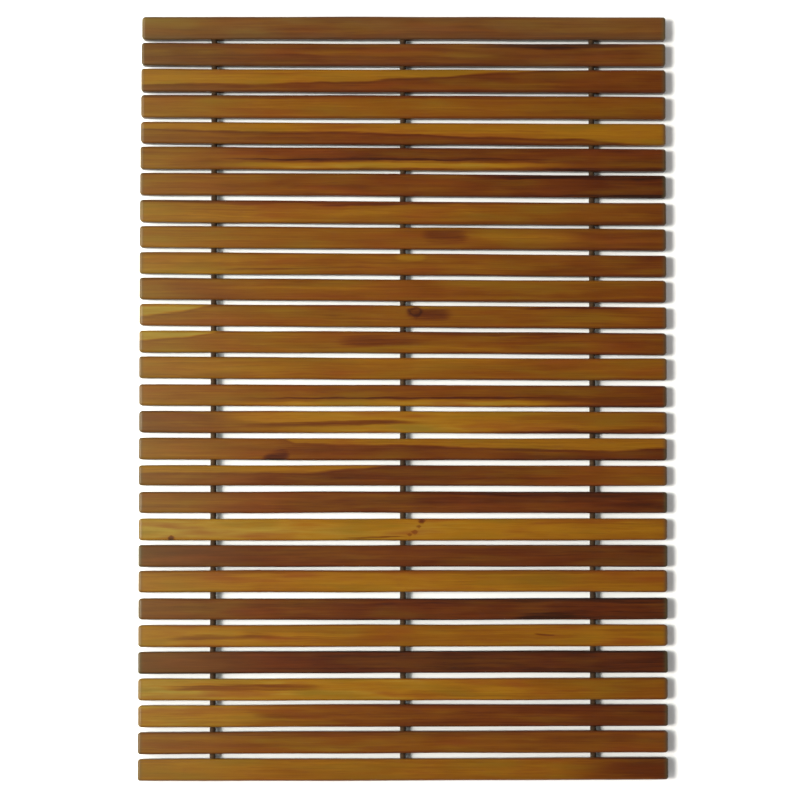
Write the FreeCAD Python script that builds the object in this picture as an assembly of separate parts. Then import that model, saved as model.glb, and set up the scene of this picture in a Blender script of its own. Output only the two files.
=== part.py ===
import FreeCAD, Part

import os

# A roll-up bath mat: wooden slats lie side by side, strung on three cords that run through drilled holes.
# The slats lie along X and follow one another along Y, from slat 1 at the back (+Y) to the last one at the
# front. Z is up and the mat lies on Z = 0. The origin is in the middle of the underside. All sizes are in mm.

# The mat
MAT_LENGTH = 550.0
SLAT_COUNT = 29

# A slat: a flat bar with its corners rounded in plan, and then every edge eased
SLAT_LENGTH = 380.0
SLAT_WIDTH = 15.7
SLAT_THICKNESS = 10.0
CORNER_ROUNDING = 2.4
EDGE_ROUNDING = 2.0

# The slats are strung by hand, so a few gaps differ from the rest by these amounts. Gap n follows slat n.
GAP_DIFFERENCES = {4: 0.5, 5: -0.8, 7: 0.5, 10: -0.8, 13: -0.6, 14: 0.8, 17: 0.6, 21: -0.8, 22: 0.8}

# The cords: one in the middle, and one near each end of the slats
CORD_DIAMETER = 4.4
CORD_HOLE_DIAMETER = 4.5
OUTER_CORD_INSET = 53.5
CORD_PLACES = (OUTER_CORD_INSET - SLAT_LENGTH / 2, 0.0, SLAT_LENGTH / 2 - OUTER_CORD_INSET)
CORD_HEIGHT = SLAT_THICKNESS / 2

# Each cord ends in a knot, sunk in a recess in the outer edge of the end slat
RECESS_DIAMETER = 7.0
RECESS_DEPTH = 7.0
KNOT_DIAMETER = 6.4
KNOT_LENGTH = 4.2
KNOT_ROUNDING = 1.6
TAIL_LENGTH = 1.6

ALONG_Y = FreeCAD.Vector(0, 1, 0)


def gap_widths():
    """The width of each gap, from the back of the mat to the front."""
    differences = [GAP_DIFFERENCES.get(n, 0.0) for n in range(1, SLAT_COUNT)]
    usual = (MAT_LENGTH - SLAT_COUNT * SLAT_WIDTH - sum(differences)) / len(differences)
    return [usual + difference for difference in differences]


def slat_places():
    """The Y of each slat's middle, from the back of the mat to the front."""
    places = [(MAT_LENGTH - SLAT_WIDTH) / 2]
    for gap in gap_widths():
        places.append(places[-1] - SLAT_WIDTH - gap)
    return places


def bend_places():
    """The Y of the middle of each gap, where the cords bend."""
    places = slat_places()
    return [(back + front) / 2 for back, front in zip(places, places[1:])]


def rod(x, start, length, diameter):
    """A round rod along Y, at the cords' height."""
    base = FreeCAD.Vector(x, start, CORD_HEIGHT)
    return Part.makeCylinder(diameter / 2, length, base, ALONG_Y)


def slat(place):
    """A slat whose middle is at Y = place, drilled for the three cords."""
    corner = FreeCAD.Vector(-SLAT_LENGTH / 2, place - SLAT_WIDTH / 2, 0)
    bar = Part.makeBox(SLAT_LENGTH, SLAT_WIDTH, SLAT_THICKNESS, corner)
    upright = [edge for edge in bar.Edges if edge.BoundBox.ZLength > SLAT_THICKNESS / 2]
    bar = bar.makeFillet(CORNER_ROUNDING, upright)
    around = [edge for edge in bar.Edges if edge.BoundBox.ZLength < SLAT_THICKNESS / 2]
    bar = bar.makeFillet(EDGE_ROUNDING, around)
    holes = [rod(x, corner.y, SLAT_WIDTH, CORD_HOLE_DIAMETER) for x in CORD_PLACES]
    return bar.cut(holes)


def end_slat(place, outward):
    """The first or last slat, with a recess for each knot in its outer edge. outward is 1 or -1 along Y."""
    edge = place + outward * SLAT_WIDTH / 2
    start = min(edge, edge - outward * RECESS_DEPTH)
    recesses = [rod(x, start, RECESS_DEPTH, RECESS_DIAMETER) for x in CORD_PLACES]
    return slat(place).cut(recesses)


def knot_seat(place, outward):
    """The Y of the recess's floor, where the knot sits."""
    return place + outward * (SLAT_WIDTH / 2 - RECESS_DEPTH)


def cord_stretches(start, end):
    """The stretch of each cord that goes with one slat, from Y = start to Y = end."""
    return Part.makeCompound([rod(x, start, end - start, CORD_DIAMETER) for x in CORD_PLACES])


def knot(x, seat, outward):
    """A drawn-up knot on its seat, with the cut end of the cord standing out of it."""
    knot_start = min(seat, seat + outward * KNOT_LENGTH)
    body = rod(x, knot_start, KNOT_LENGTH, KNOT_DIAMETER)
    body = body.makeFillet(KNOT_ROUNDING, [edge for edge in body.Edges if edge.Closed])
    top = seat + outward * KNOT_LENGTH
    tail = rod(x, min(top, top + outward * TAIL_LENGTH), TAIL_LENGTH, CORD_DIAMETER)
    return body.fuse(tail).removeSplitter()


def end_knots(seat, outward):
    """The three knots at one end of the mat."""
    return Part.makeCompound([knot(x, seat, outward) for x in CORD_PLACES])


def make_parts():
    """Every sub-part by its name."""
    places = slat_places()
    bends = bend_places()
    back_seat = knot_seat(places[0], 1)
    front_seat = knot_seat(places[-1], -1)
    stretch_ends = [back_seat] + bends + [front_seat]

    parts = {}
    for n, place in enumerate(places, 1):
        if n == 1:
            parts[f"slat_{n:02d}"] = end_slat(place, 1)
        elif n == SLAT_COUNT:
            parts[f"slat_{n:02d}"] = end_slat(place, -1)
        else:
            parts[f"slat_{n:02d}"] = slat(place)
        parts[f"cords_at_slat_{n:02d}"] = cord_stretches(stretch_ends[n], stretch_ends[n - 1])
    parts["end_knots_back"] = end_knots(back_seat, 1)
    parts["end_knots_front"] = end_knots(front_seat, -1)
    return parts


def main():
    os.makedirs("parts", exist_ok=True)
    for name, shape in make_parts().items():
        shape.exportStep(f"parts/{name}.step")
        print(name, len(shape.Solids), "solids,", round(shape.Volume), "mm3, valid:", shape.isValid())


if __name__ == "__main__":
    main()
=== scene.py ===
import math
from collections import namedtuple

import bmesh
import bpy
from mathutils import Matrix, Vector, noise


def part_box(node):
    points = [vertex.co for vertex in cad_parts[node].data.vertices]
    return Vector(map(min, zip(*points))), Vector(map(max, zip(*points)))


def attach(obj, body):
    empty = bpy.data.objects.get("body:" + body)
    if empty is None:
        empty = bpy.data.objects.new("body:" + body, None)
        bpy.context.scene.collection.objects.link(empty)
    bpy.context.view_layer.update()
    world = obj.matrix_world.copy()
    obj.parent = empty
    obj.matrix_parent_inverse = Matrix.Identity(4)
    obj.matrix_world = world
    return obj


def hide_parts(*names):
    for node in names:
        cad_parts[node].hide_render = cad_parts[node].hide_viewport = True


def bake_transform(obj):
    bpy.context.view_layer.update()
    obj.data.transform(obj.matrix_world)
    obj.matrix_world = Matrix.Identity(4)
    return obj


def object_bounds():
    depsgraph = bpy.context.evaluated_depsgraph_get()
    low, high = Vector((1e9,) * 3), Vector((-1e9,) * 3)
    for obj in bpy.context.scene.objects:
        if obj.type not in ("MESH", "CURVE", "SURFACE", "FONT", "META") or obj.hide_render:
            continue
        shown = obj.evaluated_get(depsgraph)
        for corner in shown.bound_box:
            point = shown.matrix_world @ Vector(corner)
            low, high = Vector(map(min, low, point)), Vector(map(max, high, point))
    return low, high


# A roll-up bath mat: wooden slats side by side, strung on three braided cords that end in knots.
# Everything is in metres. The slats lie along X, slat 1 is at the back (+Y) and Z is up.

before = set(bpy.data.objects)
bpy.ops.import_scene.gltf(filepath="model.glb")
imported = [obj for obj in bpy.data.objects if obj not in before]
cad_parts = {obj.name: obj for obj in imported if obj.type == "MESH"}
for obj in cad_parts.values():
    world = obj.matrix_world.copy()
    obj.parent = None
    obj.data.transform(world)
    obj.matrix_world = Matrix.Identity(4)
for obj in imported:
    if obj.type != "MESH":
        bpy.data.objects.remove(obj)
CAD_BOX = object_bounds()

# ---------------------------------------------------------------- the mat's sizes

SLAT_COUNT = 29
CORD_PLACES = (-0.1365, 0.0, 0.1365)
CORD_HEIGHT = 0.005
CORD_RADIUS = 0.0022
HOLE_RADIUS = 0.00225
RECESS_RADIUS = 0.0035
RECESS_DEPTH = 0.007

# A slat's long edges and its ends are eased by these radii. The ends are sanded by hand, so they differ.
EDGE_RADIUS = 0.002
END_RADIUS = 0.0023
END_DIFFERENCE = 0.0005
SHARPEST = 0.0004
EDGE_STEPS = 6
END_STEPS = 5
FACE_STEPS = 4
STATION_SPACING = 0.006

# How far a slat's right end lies in front of its left end, at a few slats: they aren't strung quite square.
SLANTS = ((1, 0.0004), (4, 0.0015), (8, 0.0025), (12, 0.0025), (15, 0.0012), (19, 0.0), (29, -0.0013))

# A slat isn't quite straight either: its middle lies in front of its ends or behind them by up to this.
MOST_BOW = 0.0003

# The slats weren't all planed alike: how much wider some are, at their front edges, and how much each edge
# wanders along a slat.
EXTRA_WIDTH = {1: 0.0008, 2: 0.0006, 3: 0.0008, 4: 0.0010, 6: 0.0005, 7: 0.0005, 8: 0.0006,
               15: -0.0003, 18: -0.0010, 19: -0.0004, 23: -0.0004}
EDGE_WANDER = 0.00035
EDGE_WAVES = 14

# Hand sanding leaves the faces a few hundredths of a millimetre out of true, in long waves along the slat.
SANDED_OUT = 0.00007
SANDED_UP = 0.00006
SANDING_WAVES = (9, 45, 60)

# Without a seed noise_vector starts from the clock, and the slats would come out different in every run.
SANDING_SEED = 1

# The first few slats are a little short at their left ends.
SHORTEST_TRIM = 0.0013
LAST_TRIMMED = 8

# The drilled holes' mouths are eased by this, and the drill goes this far beyond the slat.
MOUTH = 0.0005
DRILL_BEYOND = 0.003
DRILL_SIDES = 40


def between(points, place):
    """The value at a place on a line of (place, value) points."""
    for (start, first), (end, last) in zip(points, points[1:]):
        if place <= end:
            return first + (last - first) * max(0.0, (place - start) / (end - start))
    return points[-1][1]


def around_y(centre, turn, radius, y=0.0):
    """A point on a circle about the line through the centre along Y."""
    return centre + Vector((radius * math.cos(turn), y, radius * math.sin(turn)))


def varied(number, step, most, start=0.0):
    """A different value for every slat, from -most to most."""
    return most * math.sin(number * step + start)


def slat_name(number):
    return f"slat_{number:02d}"


def body_name(number):
    return f"row_{number:02d}"


def slat_middle(number):
    """The Y of a slat's middle."""
    low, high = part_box(slat_name(number))
    return (low.y + high.y) / 2


# ---------------------------------------------------------------- meshes

def new_piece(name, mesh_builder, material):
    """A smooth-shaded mesh object from a bmesh."""
    mesh = bpy.data.meshes.new(name)
    bmesh.ops.recalc_face_normals(mesh_builder, faces=mesh_builder.faces)
    mesh_builder.to_mesh(mesh)
    mesh_builder.free()
    mesh.shade_smooth()
    piece = bpy.data.objects.new(name, mesh)
    bpy.context.scene.collection.objects.link(piece)
    piece.data.materials.append(material)
    return piece


def rounded_corner(corner, index, half_width, half_height, radius):
    """Points (across, up) round one corner of a rectangle, the index-th one anticlockwise."""
    side, top = corner
    centre = Vector((side * (half_width - radius), top * (half_height - radius)))
    points = []
    for step in range(EDGE_STEPS + 1):
        angle = math.pi / 2 * (index + step / EDGE_STEPS)
        points.append(centre + radius * Vector((math.cos(angle), math.sin(angle))))
    return points


def rounded_outline(half_width, half_height, radius):
    """Points (across, up) round a rectangle with rounded corners, the same number for any radius."""
    corners = ((1, 1), (-1, 1), (-1, -1), (1, -1))
    rounds = [
        rounded_corner(corner, index, half_width, half_height, radius)
        for index, corner in enumerate(corners)
    ]
    points = []
    for here, following in zip(rounds, rounds[1:] + rounds[:1]):
        points += here
        points += [here[-1].lerp(following[0], step / FACE_STEPS) for step in range(1, FACE_STEPS)]
    return points


def rounded_end(half_length, radius):
    """(x, how far the outline is drawn in) from a slat's right end back to where it is full size."""
    turns = [math.pi / 2 * step / END_STEPS for step in range(END_STEPS + 1)]
    return [(half_length - radius * (1 - math.cos(turn)), radius * (1 - math.sin(turn))) for turn in turns]


def slat_stations(half_length, left_radius, right_radius):
    """(x, how far the outline is drawn in) from a slat's left end to its right, closest at the ends."""
    left = [(-x, inset) for x, inset in rounded_end(half_length, left_radius)]
    right = list(reversed(rounded_end(half_length, right_radius)))
    start, end = left[-1][0], right[0][0]
    count = round((end - start) / STATION_SPACING)
    middle = [(start + (end - start) * step / count, 0.0) for step in range(1, count)]
    return left + middle + right


def add_rings(builder, rings):
    """Joins rings of points with quads, and closes both ends."""
    rows = [[builder.verts.new(point) for point in ring] for ring in rings]
    for first, second in zip(rows, rows[1:]):
        for index in range(len(first)):
            following = (index + 1) % len(first)
            builder.faces.new((first[index], first[following], second[following], second[index]))
    builder.faces.new(rows[0])
    builder.faces.new(rows[-1])


def hand_finish(point, number):
    """Moves a point as hand sanding would, differently on every slat."""
    along, across, thick = SANDING_WAVES
    sample = Vector((point.x * along, point.y * across + number * 7.3, point.z * thick))
    out = SANDED_OUT * noise.noise_vector(sample)
    up = SANDED_UP * noise.noise(sample * 0.5)
    return point + out + Vector((0, 0, up))


def edge_wander(x, number, across, half_width):
    """How far a slat's edge has wandered at x. The front and back edges wander apart."""
    edge = number * 5.1 + (across > 0) * 2.7
    wander = EDGE_WANDER * noise.noise(Vector((x * EDGE_WAVES, edge, 0)))
    return wander * (abs(across) / half_width)


def slat_mesh(number):
    """A slat as a closed mesh in its place in the mat."""
    low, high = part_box(slat_name(number))
    middle = (low + high) / 2
    half = (high - low) / 2
    trim = SHORTEST_TRIM * max(0.0, 1 - number / LAST_TRIMMED)
    slant = between(SLANTS, number) / (2 * half.x)
    bow = varied(number, 2.1, MOST_BOW)
    extra = EXTRA_WIDTH.get(number, 0.0)
    half.y += extra / 2
    middle.y -= extra / 2
    left_radius = END_RADIUS + varied(number, 1.7, END_DIFFERENCE)
    right_radius = END_RADIUS + varied(number, 2.9, END_DIFFERENCE, 1)
    rings = []
    for x, inset in slat_stations(half.x - trim / 2, left_radius, right_radius):
        outline = rounded_outline(half.y - inset, half.z - inset, max(EDGE_RADIUS - inset, SHARPEST))
        shift = -slant * x + bow * (1 - (x / half.x) ** 2)
        ring = []
        for across, up in outline:
            y = middle.y + across + shift + edge_wander(x, number, across, half.y)
            ring.append(Vector((x + trim / 2, y, middle.z + up)))
        rings.append([hand_finish(point, number) for point in ring])
    builder = bmesh.new()
    add_rings(builder, rings)
    return builder


def lathe(builder, profile, centre):
    """A closed turned shape along Y: profile is (y, radius) pairs from one end to the other."""
    turns = [2 * math.pi * side / DRILL_SIDES for side in range(DRILL_SIDES)]
    add_rings(builder, [[around_y(centre, turn, radius, y) for turn in turns] for y, radius in profile])


def hole_mouth(half_width):
    """The drill's profile, from inside the slat out: a cord hole with an eased mouth."""
    wide = HOLE_RADIUS + MOUTH
    return [(half_width - MOUTH, HOLE_RADIUS), (half_width, wide), (half_width + DRILL_BEYOND, wide)]


def knot_recess(half_width):
    """The drill's profile, from inside the slat out: a cord hole that opens into a knot's recess."""
    floor = half_width - RECESS_DEPTH
    return [(floor, HOLE_RADIUS), (floor, RECESS_RADIUS), (half_width + DRILL_BEYOND, RECESS_RADIUS)]


def drill_mesh(number):
    """What is drilled out of a slat: three cord holes, and in an end slat the knots' recesses."""
    low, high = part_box(slat_name(number))
    half_width = (high.y - low.y) / 2
    back = knot_recess(half_width) if number == 1 else hole_mouth(half_width)
    front = knot_recess(half_width) if number == SLAT_COUNT else hole_mouth(half_width)
    front = [(-y, radius) for y, radius in reversed(front)]
    builder = bmesh.new()
    for x in CORD_PLACES:
        lathe(builder, front + back, Vector((x, slat_middle(number), CORD_HEIGHT)))
    return builder


def cut(piece, cutter):
    """Takes the cutter's shape out of the piece, and removes the cutter."""
    modifier = piece.modifiers.new("drill", "BOOLEAN")
    modifier.operation = "DIFFERENCE"
    modifier.solver = "EXACT"
    modifier.object = cutter
    bpy.context.view_layer.update()
    evaluated = piece.evaluated_get(bpy.context.evaluated_depsgraph_get())
    drilled = bpy.data.meshes.new_from_object(evaluated)
    piece.modifiers.clear()
    piece.data = drilled
    bpy.data.objects.remove(cutter)


def crisp_faces(piece):
    """Shades the flat faces flat and keeps the rounding between them soft."""
    modifier = piece.modifiers.new("flat faces", "WEIGHTED_NORMAL")
    modifier.weight = 80
    modifier.keep_sharp = True


def make_slat(number, material):
    """One slat, drilled, on its own body."""
    piece = new_piece(f"wood_slat_{number:02d}", slat_mesh(number), material)
    cutter = new_piece("drill", drill_mesh(number), material)
    cut(piece, cutter)
    crisp_faces(piece)
    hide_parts(slat_name(number))
    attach(piece, body_name(number))
    return piece


# ---------------------------------------------------------------- cords

BRAID_STRANDS = 4
BRAID_PITCH = 0.0060
BRAID_DEPTH = 0.14
AROUND = 24
ALONG_STEP = 0.00033


def braid_height(turn, along):
    """How proud the braid stands at an angle round the cord and a distance along it, from 0 to 1."""
    lean = along / BRAID_PITCH * 2 * math.pi
    first = BRAID_STRANDS * (turn + lean) / math.pi
    second = BRAID_STRANDS * (turn - lean) / math.pi
    over_first = (math.floor(first) + math.floor(second)) % 2 == 0
    across = (first if over_first else second) % 1 - 0.5
    lengthwise = (second if over_first else first) % 1 - 0.5
    return (1 - (2 * across) ** 2) ** 0.5 * (1 - 0.5 * (2 * lengthwise) ** 2)


def braided_ring(centre, right, up, radius, along):
    """One ring of a braided tube, round its centre line."""
    ring = []
    for step in range(AROUND):
        turn = 2 * math.pi * step / AROUND
        proud = radius * (1 - BRAID_DEPTH + BRAID_DEPTH * braid_height(turn, along))
        ring.append(centre + proud * (math.cos(turn) * right + math.sin(turn) * up))
    return ring


def ring_across_y(x, y, radius, along):
    """One ring of a braided tube that runs along Y."""
    return braided_ring(Vector((x, y, CORD_HEIGHT)), Vector((1, 0, 0)), Vector((0, 0, 1)), radius, along)


def add_braid(builder, x, start, end):
    """A straight length of braided cord along Y."""
    steps = max(2, round(abs(end - start) / ALONG_STEP))
    places = [start + (end - start) * step / steps for step in range(steps + 1)]
    add_rings(builder, [ring_across_y(x, y, CORD_RADIUS, y) for y in places])


def make_gap_cords(number, material):
    """The three cords from the middle of a slat to the middle of the next, made as straight lengths across
    the gap, where the real cords bend.
    """
    builder = bmesh.new()
    for x in CORD_PLACES:
        add_braid(builder, x, slat_middle(number), slat_middle(number + 1))
    piece = new_piece(f"cords_gap_{number:02d}", builder, material)
    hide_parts(f"cords_at_slat_{number:02d}", f"cords_at_slat_{number + 1:02d}")
    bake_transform(piece)
    return piece


# A pulled-tight overhand knot: the cord thins as it is drawn up, and goes round its axis, Y, as a trefoil.
KNOT_CORD_RADIUS = 0.00125
KNOT_RADIUS = 0.00155
KNOT_NEAREST = 0.36
KNOT_FURTHEST = 1.20
KNOT_THICKNESS = 0.0011
KNOT_MIDDLE = 0.0022
KNOT_STEPS = 90

# The cut end of a cord, melted round at its tip: how far along it, and how thick there.
TAIL_PROFILE = ((0, 1), (0.3, 1), (0.55, 0.97), (0.75, 1.08), (0.9, 0.95), (0.98, 0.6), (1.0, 0.2))


def knot_path(centre, outward):
    """The centre line of a knot."""
    middle = (KNOT_FURTHEST + KNOT_NEAREST) / 2
    swing = (KNOT_FURTHEST - KNOT_NEAREST) / 2
    points = []
    for step in range(KNOT_STEPS):
        angle = 2 * math.pi * step / KNOT_STEPS
        radius = KNOT_RADIUS * (middle + swing * math.cos(3 * angle))
        lift = outward * KNOT_THICKNESS * math.sin(3 * angle)
        points.append(around_y(centre, 2 * angle, radius, lift))
    return points


def add_closed_braid(builder, points, radius):
    """A braided tube along a closed line of points."""
    count = len(points)
    rows = []
    along = 0.0
    for index, point in enumerate(points):
        ahead = points[(index + 1) % count]
        direction = (ahead - points[index - 1]).normalized()
        right = direction.cross(Vector((0, 1, 0))).normalized()
        up = right.cross(direction).normalized()
        rows.append([builder.verts.new(p) for p in braided_ring(point, right, up, radius, along)])
        along += (ahead - point).length
    for first, second in zip(rows, rows[1:] + rows[:1]):
        for index in range(AROUND):
            following = (index + 1) % AROUND
            builder.faces.new((first[index], first[following], second[following], second[index]))


def add_tail(builder, x, start, end):
    """The cut end of a cord."""
    rings = []
    for share, size in TAIL_PROFILE:
        rings.append(ring_across_y(x, start + (end - start) * share, KNOT_CORD_RADIUS * size, start))
    add_rings(builder, rings)


def make_end_knots(number, node, outward, material):
    """The knots at one end of the mat, each with its tail and the stretch of cord behind it."""
    low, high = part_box(node)
    seat, tip = (low.y, high.y) if outward > 0 else (high.y, low.y)
    middle = seat + outward * KNOT_MIDDLE
    builder = bmesh.new()
    for x in CORD_PLACES:
        add_braid(builder, x, slat_middle(number), middle)
        add_closed_braid(builder, knot_path(Vector((x, middle, CORD_HEIGHT)), outward), KNOT_CORD_RADIUS)
        add_tail(builder, x, middle, tip)
    piece = new_piece(f"cord_knots_{'back' if outward > 0 else 'front'}", builder, material)
    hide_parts(node)
    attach(piece, body_name(number))
    return piece


# ---------------------------------------------------------------- materials

class Nodes:
    """A material's node tree, with a short call for each kind of node that is used here."""

    def __init__(self, name):
        self.material = bpy.data.materials.new(name)
        self.material.use_nodes = True
        self.tree = self.material.node_tree
        self.tree.nodes.clear()
        output = self.tree.nodes.new("ShaderNodeOutputMaterial")
        self.shader = self.tree.nodes.new("ShaderNodeBsdfPrincipled")
        self.join(self.shader.outputs["BSDF"], output.inputs["Surface"])

    def join(self, source, target):
        self.tree.links.new(source, target)

    def give(self, socket, value):
        """Sets a socket to a number or colour, or links it."""
        if isinstance(value, bpy.types.NodeSocket):
            self.join(value, socket)
        else:
            socket.default_value = value

    def math(self, operation, first, second=0.0):
        node = self.tree.nodes.new("ShaderNodeMath")
        node.operation = operation
        for socket, value in zip(node.inputs, (first, second)):
            self.give(socket, value)
        return node.outputs[0]

    def add(self, first, second):
        return self.math("ADD", first, second)

    def times(self, first, second):
        return self.math("MULTIPLY", first, second)

    def place(self):
        """x, y and z of the point on the piece, in metres, wherever the piece has moved to."""
        source = self.tree.nodes.new("ShaderNodeTexCoord")
        split = self.tree.nodes.new("ShaderNodeSeparateXYZ")
        self.join(source.outputs["Object"], split.inputs[0])
        return split.outputs[0], split.outputs[1], split.outputs[2]

    def vector(self, x, y, z):
        node = self.tree.nodes.new("ShaderNodeCombineXYZ")
        for socket, value in zip(node.inputs, (x, y, z)):
            self.give(socket, value)
        return node.outputs[0]

    def noise(self, vector, detail=2.0, roughness=0.5, distortion=0.0):
        node = self.tree.nodes.new("ShaderNodeTexNoise")
        self.join(vector, node.inputs["Vector"])
        node.inputs["Scale"].default_value = 1.0
        node.inputs["Detail"].default_value = detail
        node.inputs["Roughness"].default_value = roughness
        node.inputs["Distortion"].default_value = distortion
        return node.outputs["Fac"]

    def remap(self, value, start, end, low=0.0, high=1.0, smooth=False):
        node = self.tree.nodes.new("ShaderNodeMapRange")
        node.interpolation_type = "SMOOTHSTEP" if smooth else "LINEAR"
        for name, given in (("Value", value), ("From Min", start), ("From Max", end),
                            ("To Min", low), ("To Max", high)):
            self.give(node.inputs[name], given)
        return node.outputs["Result"]

    def ramp(self, value, stops, interpolation="LINEAR"):
        """A colour for each value. stops are (place, colour) pairs."""
        node = self.tree.nodes.new("ShaderNodeValToRGB")
        node.color_ramp.interpolation = interpolation
        elements = node.color_ramp.elements
        elements[0].position, elements[1].position = stops[0][0], stops[-1][0]
        elements[0].color, elements[1].color = (*stops[0][1], 1), (*stops[-1][1], 1)
        for place, colour in stops[1:-1]:
            elements.new(place).color = (*colour, 1)
        self.give(node.inputs["Fac"], value)
        return node.outputs["Color"]

    def line(self, value, points):
        """The height of a smooth line through (place, height) points."""
        return self.ramp(value, [(place, (height,) * 3) for place, height in points], "EASE")

    def blend(self, share, first, second):
        """A colour part of the way from first to second."""
        node = self.tree.nodes.new("ShaderNodeMix")
        node.data_type = "RGBA"
        self.give(node.inputs["Factor"], share)
        for socket, value in ((node.inputs[6], first), (node.inputs[7], second)):
            self.give(socket, (*value, 1) if isinstance(value, tuple) else value)
        return node.outputs[2]

    def between(self, share, first, second):
        """A number part of the way from first to second."""
        node = self.tree.nodes.new("ShaderNodeMix")
        for socket, value in zip(node.inputs[:1] + node.inputs[2:4], (share, first, second)):
            self.give(socket, value)
        return node.outputs[0]

    def bump(self, height, strength, distance):
        node = self.tree.nodes.new("ShaderNodeBump")
        node.inputs["Strength"].default_value = strength
        node.inputs["Distance"].default_value = distance
        self.join(height, node.inputs["Height"])
        self.join(node.outputs["Normal"], self.shader.inputs["Normal"])


# The wood's colours from its darkest heartwood to its palest sapwood, by tone.
WOOD_TONES = (
    (0.00, (0.014, 0.0024, 0.0008)),
    (0.15, (0.046, 0.0076, 0.0010)),
    (0.35, (0.071, 0.0150, 0.0010)),
    (0.55, (0.102, 0.0280, 0.0011)),
    (0.75, (0.131, 0.0440, 0.0013)),
    (1.00, (0.188, 0.0775, 0.0026)),
)
SAPWOOD = (0.205, 0.128, 0.016)
OLIVE = (0.118, 0.065, 0.003)
RUSSET = (0.120, 0.014, 0.003)
HAZE_COLOUR = (0.078, 0.065, 0.029)
# The pale grey of the painted sheen on the left ends, standing in for the key light's reflection.
PAINTED_SHEEN_COLOUR = (0.130, 0.112, 0.034)

# A figure in a slat's wood. along runs from 0 at a slat's left end to 1 at its right, and across from 0 at
# its front edge to 1 at its back edge.
#   Edge: where the heartwood meets the sapwood, a line of (along, across) points with `tone` behind it.
#   Streak: a long lens of another tone from start to end, whose middle goes from one height to another.
#   Knot: a small dark knot, which may be hollow in its middle.
# A slat's own tone goes from left to middle to right. Over 1, a tone is pale sapwood. haze is how dusty the
# slat looks, and contrast how strong its grain is.
Edge = namedtuple("Edge", "tone points soft line", defaults=(0.14, 0.0))
Streak = namedtuple("Streak", "tone start end middle width soft", defaults=(0.75,))
Knot = namedtuple("Knot", "along across size dark hollow", defaults=(0.0,))
Look = namedtuple("Look", "left middle right haze contrast figures", defaults=(0.04, 1.0, ()))

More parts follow.
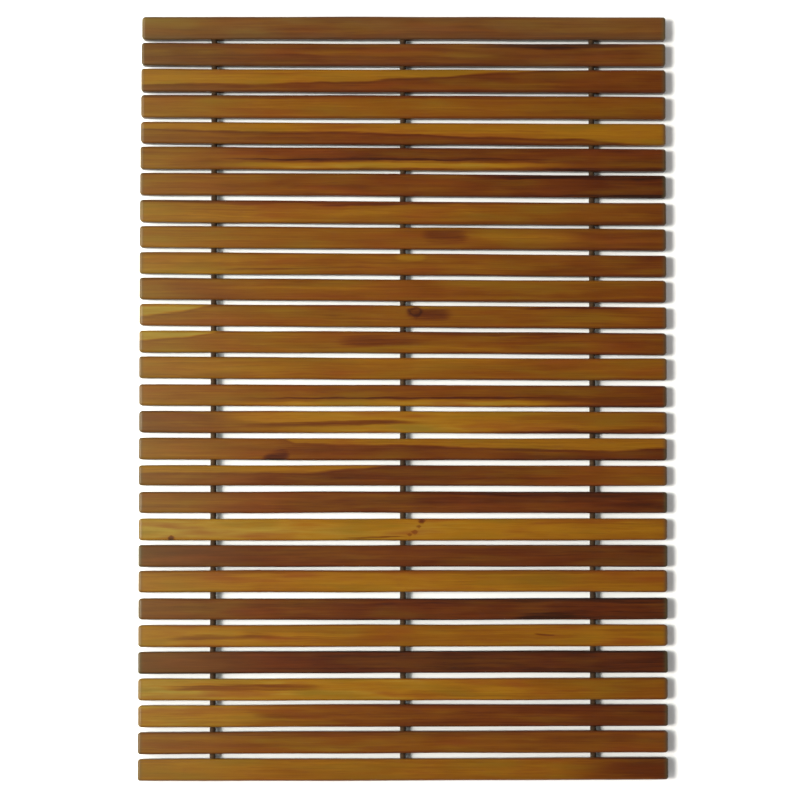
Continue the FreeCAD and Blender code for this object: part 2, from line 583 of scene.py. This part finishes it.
LOOKS = (
    Look(0.58, 0.49, 0.54, 0.30, 1.0, (Streak(0.38, -0.2, 1.2, (0.1, 0.2), 0.4),)),
    Look(0.38, 0.42, 0.46, 0.14, 1.0, (Streak(0.60, 0.26, 0.7, (0.55, 0.42), 0.4),
                                       Streak(0.08, 0.62, 0.98, (0.88, 0.82), 0.42))),
    Look(0.45, 0.40, 0.42, 0.05, 0.9, (
        Edge(0.92, ((0.0, 0.30), (0.2, 0.34), (0.4, 0.42), (0.55, 0.62), (0.7, 0.84), (0.84, 1.06)),
             0.16, 0.14),)),
    Look(0.74, 0.70, 0.54, 0.05, 0.8, (Streak(0.40, -0.3, 1.3, (0.96, 0.96), 0.4),)),
    Look(0.55, 0.42, 0.55, 0.04, 0.9, (
        Edge(0.90, ((0.0, 0.70), (0.15, 0.64), (0.34, 0.58), (0.5, 0.46),
                    (0.62, 0.34), (0.8, 0.26), (0.95, 0.0)), 0.14, 0.2),)),
    Look(0.68, 0.35, 0.28, 0.04, 1.1, (Streak(1.05, 0.10, 0.88, (0.20, 0.14), 0.5),
                                       Streak(0.10, 0.10, 0.88, (0.48, 0.42), 0.16))),
    Look(0.65, 0.46, 0.20, 0.04, 0.9, (Streak(0.10, 0.6, 1.05, (0.9, 0.85), 0.4),)),
    Look(0.85, 0.74, 0.50, 0.05, 1.0, (Streak(0.40, -0.3, 1.3, (0.97, 0.97), 0.4),
                                       Streak(0.22, 0.32, 0.52, (0.80, 0.86), 0.22))),
    Look(0.80, 0.66, 0.45, 0.06, 0.9, (Streak(0.82, 0.60, 0.86, (0.55, 0.5), 0.8),
                                       Streak(0.34, 0.53, 0.63, (0.62, 0.5), 1.0, 0.95))),
    Look(0.92, 0.64, 0.42, 0.05, 1.1, (Streak(0.88, 0.48, 0.55, (0.84, 0.82), 0.5),
                                       Streak(0.45, 0.1, 0.5, (0.3, 0.35), 0.12))),
    Look(0.56, 0.62, 0.52, 0.04, 1.0, (Streak(0.80, 0.1, 0.5, (0.6, 0.55), 0.3),)),
    Look(0.66, 0.64, 0.52, 0.04, 1.2, (Edge(1.25, ((0.0, 0.50), (0.07, 0.68), (0.15, 1.05)), 0.16, 0.12),
                                       Streak(0.26, 0.50, 0.60, (0.66, 0.60), 0.9, 0.95),
                                       Knot(0.523, 0.66, 0.0064, 0.95, 0.75),
                                       Streak(0.14, 0.70, 0.96, (0.82, 0.90), 0.2))),
    Look(0.80, 0.64, 0.48, 0.04, 1.1, (Edge(1.30, ((0.0, 0.62), (0.08, 0.76), (0.17, 1.05)), 0.14, 0.16),
                                       Streak(0.38, 0.36, 0.56, (0.6, 0.5), 0.8, 0.95),
                                       Streak(0.28, 0.4, 1.3, (0.95, 0.88), 0.4),
                                       Streak(0.78, 0.45, 0.72, (0.28, 0.2), 0.34))),
    Look(0.80, 0.74, 0.64, 0.04, 0.8, (Streak(0.90, 0.35, 0.75, (0.9, 0.9), 0.6),)),
    Look(0.74, 0.50, 0.32, 0.04, 1.0, (Streak(1.05, 0.12, 0.88, (0.12, 0.16), 0.48),
                                       Streak(0.16, 0.16, 0.86, (0.40, 0.40), 0.14))),
    Look(0.45, 1.05, 0.62, 0.05, 1.0, (Streak(1.00, 0.12, 0.6, (0.8, 0.7), 0.8),
                                       Streak(0.40, 0.16, 0.56, (0.34, 0.50), 0.36, 0.9),
                                       Streak(0.30, 0.6, 1.3, (0.0, 0.08), 0.36))),
    Look(0.66, 0.42, 0.24, 0.04, 1.0, (
        Edge(0.86, ((0.0, 1.3), (0.25, 1.2), (0.30, 0.74), (0.5, 0.66),
                    (0.64, 0.52), (0.9, 0.44), (1.0, 0.52)), 0.16, 0.12),
        Streak(0.10, 0.23, 0.29, (0.0, 0.25), 0.7, 0.8))),
    Look(0.55, 0.28, 0.60, 0.05, 1.0, (
        Edge(0.90, ((0.0, 0.62), (0.3, 0.66), (0.42, 0.84), (0.5, 1.1)), 0.18, 0.1),)),
    Look(0.60, 0.33, 0.21, 0.06, 1.1, (Streak(0.12, 0.5, 1.1, (0.92, 0.86), 0.36),)),
    Look(1.20, 1.00, 0.80, 0.02, 0.8, (Knot(0.536, 0.88, 0.0031, 0.7), Knot(0.530, 0.62, 0.0020, 0.4),
                                       Knot(0.522, 0.36, 0.0028, 0.45), Knot(0.512, 0.24, 0.0022, 0.4),
                                       Knot(0.062, 0.08, 0.0035, 0.8),
                                       Streak(0.50, 0.38, 0.52, (0.10, 0.16), 0.14, 0.9))),
    Look(0.33, 0.34, 0.21, 0.06, 0.8, ()),
    Look(0.86, 0.92, 0.76, 0.03, 0.8, (Streak(0.66, -0.3, 1.3, (0.97, 0.97), 0.3),)),
    Look(0.43, 0.26, 0.17, 0.05, 1.0, (Streak(0.03, 0.70, 0.84, (0.12, 0.2), 0.5),
                                       Streak(0.10, 0.4, 1.2, (0.92, 0.92), 0.4))),
    Look(0.98, 0.78, 0.86, 0.03, 0.9, (Streak(0.58, 0.04, 0.28, (0.35, 0.5), 0.5, 0.95),
                                       Streak(0.35, 0.745, 0.79, (0.56, 0.5), 0.16, 0.9),
                                       Streak(1.0, 0.06, 0.22, (0.65, 0.6), 0.5, 0.9))),
    Look(0.33, 0.15, 0.13, 0.06, 0.8, ()),
    Look(1.14, 1.02, 0.62, 0.03, 0.9, (Streak(0.58, 0.03, 0.37, (0.5, 0.6), 0.6, 0.95),
                                       Streak(0.80, 0.48, 0.67, (0.3, 0.4), 0.5, 0.9))),
    Look(1.10, 0.48, 0.25, 0.04, 1.1, (Streak(0.46, 0.2, 0.42, (0.5, 0.5), 0.3, 0.9),
                                       Streak(0.95, -0.1, 0.25, (0.4, 0.5), 0.6, 0.95))),
    Look(0.60, 0.62, 0.46, 0.06, 1.0, (Streak(0.42, -0.2, 0.9, (0.92, 0.9), 0.4),)),
    Look(0.84, 0.76, 0.72, 0.04, 0.8, (Streak(0.24, 0.78, 1.5, (0.5, 0.5), 3.5, 0.9),)),
)

# The grain of one slat. along runs from the slat's left end to its right, and level from its front edge to
# its back edge. across is level bent as the grain wanders. The rest are noises: broad bands, thin threads,
# clouds of tone and of hue, fine fibres, and open pores.
Grain = namedtuple("Grain", "along level across bands threads clouds hues fibres pores")

# How far the grain's lines are carried sideways by each of these, as a share of the slat's width.
SIDEWAYS_WANDER = 0.24
SIDEWAYS_DEPTH = 0.3
SIDEWAYS_FIBRES = 0.1
SIDEWAYS_RAGGED = 0.12

# How much each noise changes the tone. The first three are multiplied by the slat's own contrast.
BANDS_IN_TONE = 0.55
CLOUDS_IN_TONE = 0.35
THREADS_IN_TONE = 0.42
FIBRES_IN_TONE = 0.26
PORES_IN_TONE = 0.1
BANDS_IN_EDGE = 0.4
BANDS_IN_STREAK = 0.3

# The dark line where heartwood meets sapwood lies this far in front of their border, and fades at its sides.
LINE_IN_FRONT = 0.04
LINE_WIDTH = 0.09

# How ragged the grain makes a streak's sides and a knot's rim, as shares of their size.
STREAK_RAGGED = 1.3
KNOT_RAGGED = 1.4
THINNEST_STREAK = 0.0001

# The ends are darker and dusty: a little at END_START from the tip, and wholly at END_FULL.
END_START = 0.0045
END_FULL = 0.0005
END_DARKER = 0.16
END_HAZE = 0.42

# The long edges are darker, unevenly, from this far off the slat's middle line: partly oil gathered there,
# partly painted shade where the rounding turns from the light.
SIDE_START = 0.41
LEAST_OIL_AND_SHADE = 0.1
MOST_OIL_AND_SHADE = 0.26

# A painted sheen: the left ends are paled towards a grey veil, where the key light's reflection lies.
PAINTED_SHEEN_REACH = 0.25
PAINTED_SHEEN_MOST = 0.16

# A knot is this much longer along the slat than across it.
KNOT_FLATNESS = 1.25

# The noises' usual lowest and highest, and where the pores open
CLOUD_LEVELS = (0.3, 0.7)
PORE_LEVELS = (0.64, 0.72)

# Where in the hues the wood turns greener and redder, and how much at most, and the tones of sapwood
OLIVE_HUES = (0.50, 0.72)
MOST_OLIVE = 0.6
RUSSET_HUES = (0.46, 0.28)
MOST_RUSSET = 0.5
SAPWOOD_LEVELS = (1.0, 1.3)

# The oiled surface
OILED_ROUGHNESS = 0.27
FIBRES_IN_ROUGHNESS = 0.16
PORES_IN_ROUGHNESS = 0.15
OILED_SPECULAR = 0.13
RELIEF = 0.6
RELIEF_STRENGTH = 0.35
FIBRE_HEIGHT = 0.00012

# The cords' yarn
YARN_TONES = (
    (0.30, (0.008, 0.003, 0.001)),
    (0.55, (0.026, 0.012, 0.004)),
    (0.85, (0.075, 0.040, 0.015)),
)
YARN_ROUGHNESS = 0.6
FILAMENT_HEIGHT = 0.00015


def centred(nodes, value, size):
    """A noise about 0, from -size / 2 to size / 2."""
    return nodes.times(nodes.add(value, -0.5), size)


def edge_mask(nodes, grain, figure):
    """1 behind the line and 0 in front of it, and how near the line is."""
    gone = nodes.math("SUBTRACT", grain.across, nodes.line(grain.along, figure.points))
    mask = nodes.remap(gone, -figure.soft / 2, figure.soft / 2, smooth=True)
    distance = nodes.math("ABSOLUTE", nodes.add(gone, LINE_IN_FRONT))
    near = nodes.remap(distance, 0.0, LINE_WIDTH, 1.0, 0.0, smooth=True)
    return mask, near


def streak_mask(nodes, grain, figure):
    """1 in the streak's middle, fading to 0 at its sides, frayed by the grain, and at its pointed ends."""
    gone = nodes.remap(grain.along, figure.start, figure.end)
    middle = nodes.remap(gone, 0.0, 1.0, figure.middle[0], figure.middle[1])
    taper = nodes.times(nodes.times(gone, nodes.math("SUBTRACT", 1.0, gone)), 4.0)
    reach = nodes.times(nodes.math("SQRT", taper), figure.width / 2)
    reach = nodes.math("MAXIMUM", reach, THINNEST_STREAK)
    away = nodes.math("ABSOLUTE", nodes.math("SUBTRACT", grain.across, middle))
    distance = nodes.add(nodes.math("DIVIDE", away, reach), centred(nodes, grain.threads, STREAK_RAGGED))
    frayed = nodes.remap(distance, 1.0, 1.0 - figure.soft, smooth=True)
    return nodes.times(frayed, nodes.remap(taper, 0.0, 0.8, smooth=True))


def knot_mask(nodes, number, figure):
    """How dark a knot makes the wood, with a ragged rim, and paler in its middle where it is hollow."""
    low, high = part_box(slat_name(number))
    x, y = nodes.place()[:2]
    centre_x = low.x + (high.x - low.x) * figure.along
    centre_y = low.y + (high.y - low.y) * figure.across
    away_x = nodes.times(nodes.math("SUBTRACT", x, centre_x), 1 / figure.size)
    away_y = nodes.times(nodes.math("SUBTRACT", y, centre_y), KNOT_FLATNESS / figure.size)
    wobble = nodes.noise(nodes.vector(away_x, away_y, figure.along * 31), 3.0)
    distance = nodes.math("SQRT", nodes.add(nodes.times(away_x, away_x), nodes.times(away_y, away_y)))
    distance = nodes.add(distance, centred(nodes, wobble, KNOT_RAGGED))
    solid = nodes.remap(distance, 1.0, 0.35, smooth=True)
    middle = nodes.remap(distance, 0.55, 0.2, 1.0, 1.0 - figure.hollow, smooth=True)
    return nodes.times(nodes.times(solid, middle), figure.dark)


def stretched_noise(nodes, lengths, offset, detail, roughness=0.5, distortion=0.0):
    """A noise over three (value, how many waves it has for each 1 of that value) pairs."""
    x, y, z = [nodes.times(value, waves) for value, waves in lengths]
    return nodes.noise(nodes.vector(x, nodes.add(y, offset), z), detail, roughness, distortion)


def wood_grain(nodes, number):
    """The grain of one slat, different on every slat."""
    low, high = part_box(slat_name(number))
    x, y, z = nodes.place()
    seed = number * 3.7
    along = nodes.remap(x, low.x, high.x)
    level = nodes.remap(y, low.y, high.y)
    depth = nodes.remap(z, high.z, low.z)

    wander = nodes.noise(nodes.vector(nodes.times(x, 11.0), seed, nodes.times(z, 20.0)), 2.0)
    ragged = nodes.noise(nodes.vector(nodes.times(x, 55.0), nodes.times(y, 260.0), seed), 2.0)
    fibres = stretched_noise(nodes, ((x, 34.0), (y, 1300.0), (z, 1300.0)), seed, 3.0, 0.6)
    across = nodes.add(level, centred(nodes, wander, SIDEWAYS_WANDER))
    across = nodes.add(across, nodes.times(depth, SIDEWAYS_DEPTH))
    across = nodes.add(across, centred(nodes, fibres, SIDEWAYS_FIBRES))
    across = nodes.add(across, centred(nodes, ragged, SIDEWAYS_RAGGED))

    bands = stretched_noise(nodes, ((x, 5.0), (across, 4.2), (z, 60.0)), seed, 3.0, 0.62, 0.3)
    threads = stretched_noise(nodes, ((x, 15.0), (across, 15.0), (z, 200.0)), seed, 2.0, 0.6)
    clouds = nodes.noise(nodes.vector(nodes.times(x, 26.0), nodes.times(across, 1.6), seed), 2.0)
    hues = nodes.noise(nodes.vector(nodes.times(x, 17.0), nodes.times(across, 1.9), seed + 50.0), 2.0)
    pores = stretched_noise(nodes, ((x, 150.0), (y, 4200.0), (z, 4200.0)), seed, 1.0)
    open_pores = nodes.remap(pores, *PORE_LEVELS, smooth=True)
    return Grain(along, level, across, bands, threads, clouds, hues, fibres, open_pores)


def add_figure(nodes, tone, grain, number, figure):
    """The tone with one figure laid over it."""
    if isinstance(figure, Edge):
        mask, near = edge_mask(nodes, grain, figure)
        behind = nodes.add(figure.tone, centred(nodes, grain.bands, BANDS_IN_EDGE))
        tone = nodes.between(mask, tone, behind)
        return nodes.math("SUBTRACT", tone, nodes.times(near, figure.line))
    if isinstance(figure, Streak):
        inside = nodes.add(figure.tone, centred(nodes, grain.bands, BANDS_IN_STREAK))
        return nodes.between(streak_mask(nodes, grain, figure), tone, inside)
    return nodes.math("SUBTRACT", tone, nodes.times(knot_mask(nodes, number, figure), tone))


def end_share(nodes, number):
    """1 at the tips of a slat's ends, and 0 where they are as the rest of it."""
    half_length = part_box(slat_name(number))[1].x
    x = nodes.place()[0]
    start, full = half_length - END_START, half_length - END_FULL
    return nodes.remap(nodes.math("ABSOLUTE", x), start, full, smooth=True)


def wood_tone(nodes, number, look, grain, end):
    """How pale the wood is, from 0 for the darkest heartwood to over 1 for sapwood."""
    tone = nodes.line(grain.along, ((0.0, look.left), (0.5, look.middle), (1.0, look.right)))
    tone = nodes.add(tone, centred(nodes, grain.bands, BANDS_IN_TONE * look.contrast))
    tone = nodes.add(tone, centred(nodes, grain.clouds, CLOUDS_IN_TONE * look.contrast))
    for figure in look.figures:
        tone = add_figure(nodes, tone, grain, number, figure)
    tone = nodes.add(tone, centred(nodes, grain.threads, THREADS_IN_TONE * look.contrast))
    tone = nodes.add(tone, centred(nodes, grain.fibres, FIBRES_IN_TONE))
    tone = nodes.math("SUBTRACT", tone, nodes.times(grain.pores, PORES_IN_TONE))
    # Painted shade along the long edges, partly oil gathered there.
    side = nodes.remap(nodes.math("ABSOLUTE", nodes.add(grain.level, -0.5)), SIDE_START, 0.5, smooth=True)
    oil_and_shade = nodes.times(side, nodes.remap(grain.clouds, *CLOUD_LEVELS, LEAST_OIL_AND_SHADE, MOST_OIL_AND_SHADE))
    tone = nodes.math("SUBTRACT", tone, nodes.times(end, END_DARKER))
    return nodes.math("SUBTRACT", tone, oil_and_shade)


def wood_colour(nodes, look, grain, tone, end):
    """The colour for a tone, greener and redder in places, dusty at the ends, with a painted sheen at the
    left.
    """
    olive = nodes.times(nodes.remap(grain.hues, *OLIVE_HUES, 0.0, MOST_OLIVE), tone)
    russet = nodes.times(nodes.remap(grain.hues, *RUSSET_HUES, 0.0, MOST_RUSSET), tone)
    dusty = nodes.remap(grain.clouds, *CLOUD_LEVELS, look.haze * 0.5, look.haze)
    colour = nodes.ramp(tone, WOOD_TONES)
    colour = nodes.blend(nodes.remap(tone, *SAPWOOD_LEVELS), colour, SAPWOOD)
    colour = nodes.blend(olive, colour, OLIVE)
    colour = nodes.blend(russet, colour, RUSSET)
    colour = nodes.blend(nodes.add(dusty, nodes.times(end, END_HAZE)), colour, HAZE_COLOUR)
    # Painted sheen: paler and greyer towards the left ends, where the light is reflected.
    return nodes.blend(nodes.remap(grain.along, PAINTED_SHEEN_REACH, 0.0, 0.0, PAINTED_SHEEN_MOST), colour, PAINTED_SHEEN_COLOUR)


def wood(number, look):
    """Oiled hardwood for one slat: its tone and figure, fine fibres and pores, ends, and long edges darkened
    by oil and painted shade.
    """
    nodes = Nodes(f"wood_{number:02d}")
    grain = wood_grain(nodes, number)
    end = end_share(nodes, number)
    tone = wood_tone(nodes, number, look, grain, end)
    nodes.join(wood_colour(nodes, look, grain, tone, end), nodes.shader.inputs["Base Color"])

    rough_fibres = nodes.times(grain.fibres, FIBRES_IN_ROUGHNESS)
    rough_pores = nodes.times(grain.pores, PORES_IN_ROUGHNESS)
    roughness = nodes.add(nodes.add(rough_fibres, rough_pores), OILED_ROUGHNESS)
    nodes.join(roughness, nodes.shader.inputs["Roughness"])
    nodes.shader.inputs["Specular IOR Level"].default_value = OILED_SPECULAR
    height = nodes.math("SUBTRACT", nodes.times(grain.fibres, RELIEF), nodes.times(grain.pores, RELIEF))
    nodes.bump(height, RELIEF_STRENGTH, FIBRE_HEIGHT)
    return nodes.material


def cord_material():
    """Dark brown braided cord: matt yarn, paler where it is worn, with fine filaments."""
    nodes = Nodes("braided_cord")
    x, y, z = nodes.place()
    filaments = stretched_noise(nodes, ((x, 5200.0), (y, 1800.0), (z, 5200.0)), 0.0, 2.0)
    worn = stretched_noise(nodes, ((x, 160.0), (y, 160.0), (z, 160.0)), 0.0, 2.0)
    tone = nodes.add(nodes.times(filaments, 0.7), nodes.times(worn, 0.5))
    nodes.join(nodes.ramp(tone, YARN_TONES), nodes.shader.inputs["Base Color"])
    roughness = nodes.add(nodes.times(filaments, 0.25), YARN_ROUGHNESS)
    nodes.join(roughness, nodes.shader.inputs["Roughness"])
    nodes.shader.inputs["Specular IOR Level"].default_value = 0.12
    nodes.shader.inputs["Sheen Weight"].default_value = 0.1
    nodes.shader.inputs["Sheen Roughness"].default_value = 0.5
    nodes.bump(filaments, 0.5, FILAMENT_HEIGHT)
    return nodes.material


# ---------------------------------------------------------------- the studio

FLOOR_HALF = 3.0
FLOOR_CELLS = 12
FLOOR_GAP = 0.0002
PAPER_TONES = ((0.3, (0.945, 0.945, 0.94)), (0.7, (0.965, 0.965, 0.96)))

# The key light is far off at the left, along the slats, and the panel is near their left ends.
KEY_ELEVATION = math.radians(52)
KEY_DISTANCE = 3.0
KEY_STRENGTH = 2.43
KEY_SOFTNESS = math.radians(17)
KEY_TINT = (1.0, 0.95, 0.88)
PANEL_PLACE = (-0.75, 0.0, 0.55)
PANEL_SIZE = (0.5, 1.2)
PANEL_POWER = 12.5
PANEL_TINT = (0.95, 1.03, 0.97)

# The air is bright at the walls, and less so at those in front and behind. It darkens upwards from WALL_TOP
# to CEILING_EDGE, which are cosines of the angle from the ceiling's middle.
WALLS = 1.9
FRONT_AND_BACK_SHARE = 0.35
CEILING_TONE = 0.03
CEILING_LEAN = math.radians(10)
WALL_TOP = 0.52
CEILING_EDGE = 0.78

CAMERA_LENS = 108.0
CAMERA_SHIFT = 0.0753
CAMERA_PLACE = (-0.0021, -0.105, 1.733)
CAMERA_TILT = 0.0343


def floor_material():
    """Plain white paper, with a faint unevenness."""
    nodes = Nodes("white_floor")
    x, y = nodes.place()[:2]
    mottle = nodes.noise(nodes.vector(nodes.times(x, 30.0), nodes.times(y, 30.0), 0.0), 4.0)
    nodes.join(nodes.ramp(mottle, PAPER_TONES), nodes.shader.inputs["Base Color"])
    nodes.shader.inputs["Roughness"].default_value = 0.9
    nodes.shader.inputs["Specular IOR Level"].default_value = 0.1
    return nodes.material


def make_floor():
    builder = bmesh.new()
    bmesh.ops.create_grid(builder, x_segments=FLOOR_CELLS, y_segments=FLOOR_CELLS, size=FLOOR_HALF)
    floor = new_piece("floor", builder, floor_material())
    floor.location.z = CAD_BOX[0][2] - FLOOR_GAP


def add_light(name, kind, strength, tint, place):
    """A light that shines on the middle of the mat."""
    light = bpy.data.lights.new(name, kind)
    light.energy = strength
    light.color = tint
    holder = bpy.data.objects.new(name, light)
    holder.location = place
    holder.rotation_euler = (-Vector(place)).to_track_quat("-Z", "Y").to_euler()
    bpy.context.scene.collection.objects.link(holder)
    return light


def wall_strength(tree, direction):
    """How bright the air is all round: less in front and behind than to the left and right."""
    split = tree.nodes.new("ShaderNodeSeparateXYZ")
    tree.links.new(direction, split.inputs[0])
    square = tree.nodes.new("ShaderNodeMath")
    square.operation = "POWER"
    square.inputs[1].default_value = 2.0
    tree.links.new(split.outputs["Y"], square.inputs[0])
    strength = tree.nodes.new("ShaderNodeMapRange")
    strength.inputs["To Min"].default_value = WALLS
    strength.inputs["To Max"].default_value = WALLS * FRONT_AND_BACK_SHARE
    tree.links.new(square.outputs[0], strength.inputs["Value"])
    return strength.outputs["Result"]


def ceiling_colour(tree, direction):
    """White at the walls, and dark at the ceiling, whose middle leans away from the key light."""
    lean = tree.nodes.new("ShaderNodeVectorMath")
    lean.operation = "DOT_PRODUCT"
    lean.inputs[1].default_value = (math.sin(CEILING_LEAN), 0.0, math.cos(CEILING_LEAN))
    tree.links.new(direction, lean.inputs[0])
    ramp = tree.nodes.new("ShaderNodeValToRGB")
    ramp.color_ramp.interpolation = "EASE"
    wall, ceiling = ramp.color_ramp.elements
    wall.position, ceiling.position = WALL_TOP, CEILING_EDGE
    wall.color = (1.0, 1.0, 1.0, 1.0)
    ceiling.color = (CEILING_TONE, CEILING_TONE, CEILING_TONE, 1.0)
    tree.links.new(lean.outputs["Value"], ramp.inputs["Fac"])
    return ramp.outputs["Color"]


def make_air():
    """The light from all round: bright walls and a dark ceiling."""
    world = bpy.data.worlds.new("bright_air")
    bpy.context.scene.world = world
    world.use_nodes = True
    tree = world.node_tree
    direction = tree.nodes.new("ShaderNodeTexCoord").outputs["Generated"]
    background = tree.nodes["Background"]
    tree.links.new(wall_strength(tree, direction), background.inputs["Strength"])
    tree.links.new(ceiling_colour(tree, direction), background.inputs["Color"])


def make_lights():
    """A soft key from the left, along the slats, and a low panel near their left ends."""
    key_place = Vector((-math.cos(KEY_ELEVATION), 0, math.sin(KEY_ELEVATION))) * KEY_DISTANCE
    key = add_light("key", "SUN", KEY_STRENGTH, KEY_TINT, key_place)
    key.angle = KEY_SOFTNESS
    panel = add_light("left_panel", "AREA", PANEL_POWER, PANEL_TINT, PANEL_PLACE)
    panel.shape = "RECTANGLE"
    panel.size, panel.size_y = PANEL_SIZE


def make_camera():
    """Looks down on the mat from less than two metres, a little from its front."""
    camera = bpy.data.cameras.new("camera")
    camera.lens = CAMERA_LENS
    camera.sensor_width = 36.0
    camera.shift_y = CAMERA_SHIFT
    camera.clip_start = 0.05
    holder = bpy.data.objects.new("camera", camera)
    holder.location = CAMERA_PLACE
    holder.rotation_euler = (CAMERA_TILT, 0.0, 0.0)
    bpy.context.scene.collection.objects.link(holder)
    bpy.context.scene.camera = holder


# ---------------------------------------------------------------- the mat

def make_mat():
    noise.seed_set(SANDING_SEED)
    for number, look in enumerate(LOOKS, start=1):
        make_slat(number, wood(number, look))
    cord = cord_material()
    for number in range(1, SLAT_COUNT):
        make_gap_cords(number, cord)
    make_end_knots(1, "end_knots_back", 1, cord)
    make_end_knots(SLAT_COUNT, "end_knots_front", -1, cord)


make_mat()
make_floor()
make_lights()
make_air()
make_camera()
bpy.context.scene.view_settings.view_transform = "Standard"
